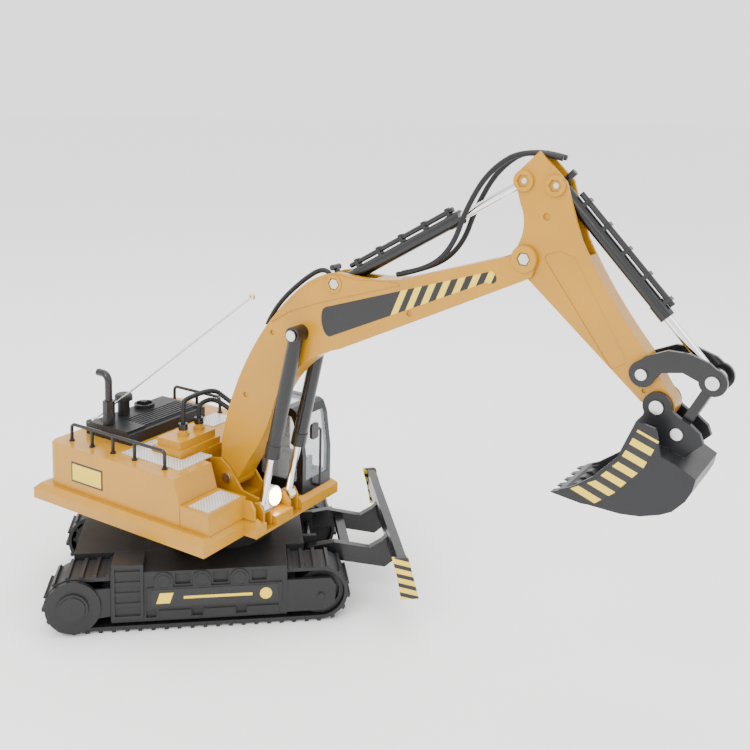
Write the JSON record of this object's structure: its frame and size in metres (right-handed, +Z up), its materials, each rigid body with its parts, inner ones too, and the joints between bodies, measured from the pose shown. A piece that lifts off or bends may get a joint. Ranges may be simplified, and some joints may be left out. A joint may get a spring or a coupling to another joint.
{
  "type": "toy excavator",
  "caption": "Toy tracked excavator with swinging house, lifting boom, folding arm and curling bucket, all with sliding cylinders, and a hinged dozer blade.",
  "frame": {"origin": "on the ground under the swing axis of the upper structure", "axes": "+X towards the front of the undercarriage, where the blade is; +Y to its left; +Z up"},
  "size_m": [0.4991, 0.4499, 0.4071],
  "materials": {
    "black_plastic": "satin",
    "board": "satin",
    "cells": "gloss",
    "chrome": "polished",
    "cord": "matte",
    "dark_plastic": "semi gloss",
    "glazing": "clear",
    "lamp": "gloss",
    "motor": "satin",
    "silver_tread": "satin",
    "steel": "satin",
    "yellow_plastic": "gloss"
  },
  "bodies": {
    "undercarriage": {"chassis_frame": "black_plastic", "left_track_frame": "black_plastic", "right_track_frame": "black_plastic", "left_track_belt": "black_plastic", "right_track_belt": "black_plastic", "final_drive_covers": "black_plastic", "idler_yokes": "black_plastic", "drive_motors": "motor", "battery_cover": "black_plastic", "battery_pack": "cells", "slew_ring": "black_plastic"},
    "left_sprocket": {"left_sprocket": "black_plastic"},
    "right_sprocket": {"right_sprocket": "black_plastic"},
    "left_idler": {"left_idler": "black_plastic"},
    "right_idler": {"right_idler": "black_plastic"},
    "power_switch": {"power_switch": "black_plastic"},
    "blade": {"blade_arms": "black_plastic", "blade_plate": "black_plastic", "blade_side_plates": "yellow_plastic"},
    "house": {"house_floor": "yellow_plastic", "slew_retainer": "steel", "deck_shell": "yellow_plastic", "counterweight": "yellow_plastic", "step_box": "yellow_plastic", "deck_treads": "silver_tread", "engine_cover": "black_plastic", "exhaust_stack": "black_plastic", "precleaner": "black_plastic", "handrails": "black_plastic", "valve_block": "yellow_plastic", "valve_hoses": "cord", "boom_mount": "yellow_plastic", "cab_shell": "black_plastic", "cab_windows": "glazing", "cab_interior": "black_plastic", "cab_mirror": "black_plastic", "headlamp": "lamp", "slew_motor": "motor", "circuit_board": "board", "antenna_bracket": "black_plastic"},
    "antenna": {"antenna": "steel"},
    "boom": {"boom_right_shell": "yellow_plastic", "boom_left_shell": "yellow_plastic", "boom_pins": "steel", "boom_hose": "cord"},
    "boom_barrels": {"boom_barrels": "dark_plastic"},
    "boom_rods": {"boom_rods": "chrome"},
    "arm": {"arm_right_shell": "yellow_plastic", "arm_left_shell": "yellow_plastic", "arm_pins": "steel", "stick_hoses": "cord"},
    "arm_barrel": {"arm_barrel": "dark_plastic"},
    "arm_rod": {"arm_rod": "chrome"},
    "bucket_barrel": {"bucket_barrel": "dark_plastic"},
    "bucket_rod": {"bucket_rod": "chrome"},
    "rockers": {"rockers": "dark_plastic", "rocker_pins": "steel"},
    "bucket_link": {"bucket_link": "dark_plastic"},
    "bucket": {"bucket_shell": "dark_plastic", "bucket_pins": "steel"}
  },
  "joints": [
    {"name": "house_swing", "type": "hinge", "parent": "undercarriage", "child": "house", "pos_m": [0, 0, 0.07], "axis": [0, 0, 1], "continuous": true},
    {"name": "left_sprocket_spin", "type": "hinge", "parent": "undercarriage", "child": "left_sprocket", "pos_m": [-0.1176, 0, 0.025], "axis": [0, 1, 0], "continuous": true},
    {"name": "right_sprocket_spin", "type": "hinge", "parent": "undercarriage", "child": "right_sprocket", "pos_m": [-0.1176, 0, 0.025], "axis": [0, 1, 0], "continuous": true},
    {"name": "left_idler_spin", "type": "hinge", "parent": "undercarriage", "child": "left_idler", "pos_m": [0.0824, 0, 0.025], "axis": [0, 1, 0], "continuous": true},
    {"name": "right_idler_spin", "type": "hinge", "parent": "undercarriage", "child": "right_idler", "pos_m": [0.0824, 0, 0.025], "axis": [0, 1, 0], "continuous": true},
    {"name": "switch_slide", "type": "slide", "parent": "undercarriage", "child": "power_switch", "axis": [1, 0, 0], "range_m": [0, 0.005]},
    {"name": "blade_lift", "type": "hinge", "parent": "undercarriage", "child": "blade", "pos_m": [0.077, 0, 0.042], "axis": [0, -1, 0], "range_deg": [-16, 6]},
    {"name": "antenna_tilt", "type": "hinge", "parent": "house", "child": "antenna", "pos_m": [-0.12024, 0.06062, 0.1322], "axis": [-0.6494, -0.7604, 0], "range_deg": [-2, 50]},
    {"name": "boom_lift", "type": "hinge", "parent": "house", "child": "boom", "pos_m": [0.01369, -0.01169, 0.108], "axis": [-0.6494, -0.7604, 0], "range_deg": [-20, 15]},
    {"name": "boom_cylinder_pivot", "type": "hinge", "parent": "boom", "child": "boom_barrels", "pos_m": [0.07155, -0.06111, 0.2479], "axis": [-0.6494, -0.7604, 0], "range_deg": [-0.75, 0.89]},
    {"name": "boom_cylinder_stroke", "type": "slide", "parent": "boom_barrels", "child": "boom_rods", "axis": [-0.167, 0.1426, -0.9756], "range_m": [-0.01548, 0.01171]},
    {"name": "stick_swing", "type": "hinge", "parent": "boom", "child": "arm", "pos_m": [0.21588, -0.18438, 0.3294], "axis": [-0.6494, -0.7604, 0], "range_deg": [-25, 25], "deforming": ["stick_hoses"]},
    {"name": "arm_cylinder_pivot", "type": "hinge", "parent": "boom", "child": "arm_barrel", "pos_m": [0.09498, -0.08112, 0.2915], "axis": [-0.6494, -0.7604, 0], "range_deg": [-3.64, 3.64]},
    {"name": "arm_cylinder_stroke", "type": "slide", "parent": "arm_barrel", "child": "arm_rod", "axis": [0.6545, -0.559, 0.509], "range_m": [-0.02122, 0.02122]},
    {"name": "bucket_curl", "type": "hinge", "parent": "arm", "child": "bucket", "pos_m": [0.2904, -0.24802, 0.2431], "axis": [-0.6494, -0.7604, 0], "range_deg": [-40, 20]},
    {"name": "rocker_pivot", "type": "hinge", "parent": "arm", "child": "rockers", "pos_m": [0.28165, -0.24056, 0.2628], "axis": [-0.6494, -0.7604, 0], "range_deg": [-18.99, 9.64]},
    {"name": "link_pivot", "type": "hinge", "parent": "rockers", "child": "bucket_link", "pos_m": [0.31603, -0.26991, 0.2651], "axis": [-0.6494, -0.7604, 0], "range_deg": [-0.48, 0.66]},
    {"name": "bucket_cylinder_pivot", "type": "hinge", "parent": "arm", "child": "bucket_barrel", "pos_m": [0.23094, -0.19724, 0.3817], "axis": [-0.6494, -0.7604, 0], "range_deg": [-3.91, 2.1]},
    {"name": "bucket_cylinder_stroke", "type": "slide", "parent": "bucket_barrel", "child": "bucket_rod", "axis": [0.5265, -0.4497, -0.7215], "range_m": [-0.00563, 0.01085]}
  ],
  "couplings": [
    {"joint": "boom_cylinder_pivot", "follows": "boom_lift", "ratio": -0.0297},
    {"joint": "boom_cylinder_stroke", "follows": "boom_lift", "m_per_rad": 0.0432},
    {"joint": "arm_cylinder_pivot", "follows": "stick_swing", "ratio": 0.1337},
    {"joint": "arm_cylinder_stroke", "follows": "stick_swing", "m_per_rad": -0.04771},
    {"joint": "rocker_pivot", "follows": "bucket_curl", "ratio": 0.4672},
    {"joint": "link_pivot", "follows": "bucket_curl", "ratio": -0.0089},
    {"joint": "bucket_cylinder_pivot", "follows": "bucket_curl", "ratio": 0.0902},
    {"joint": "bucket_cylinder_stroke", "follows": "bucket_curl", "m_per_rad": -0.01497}
  ]
}
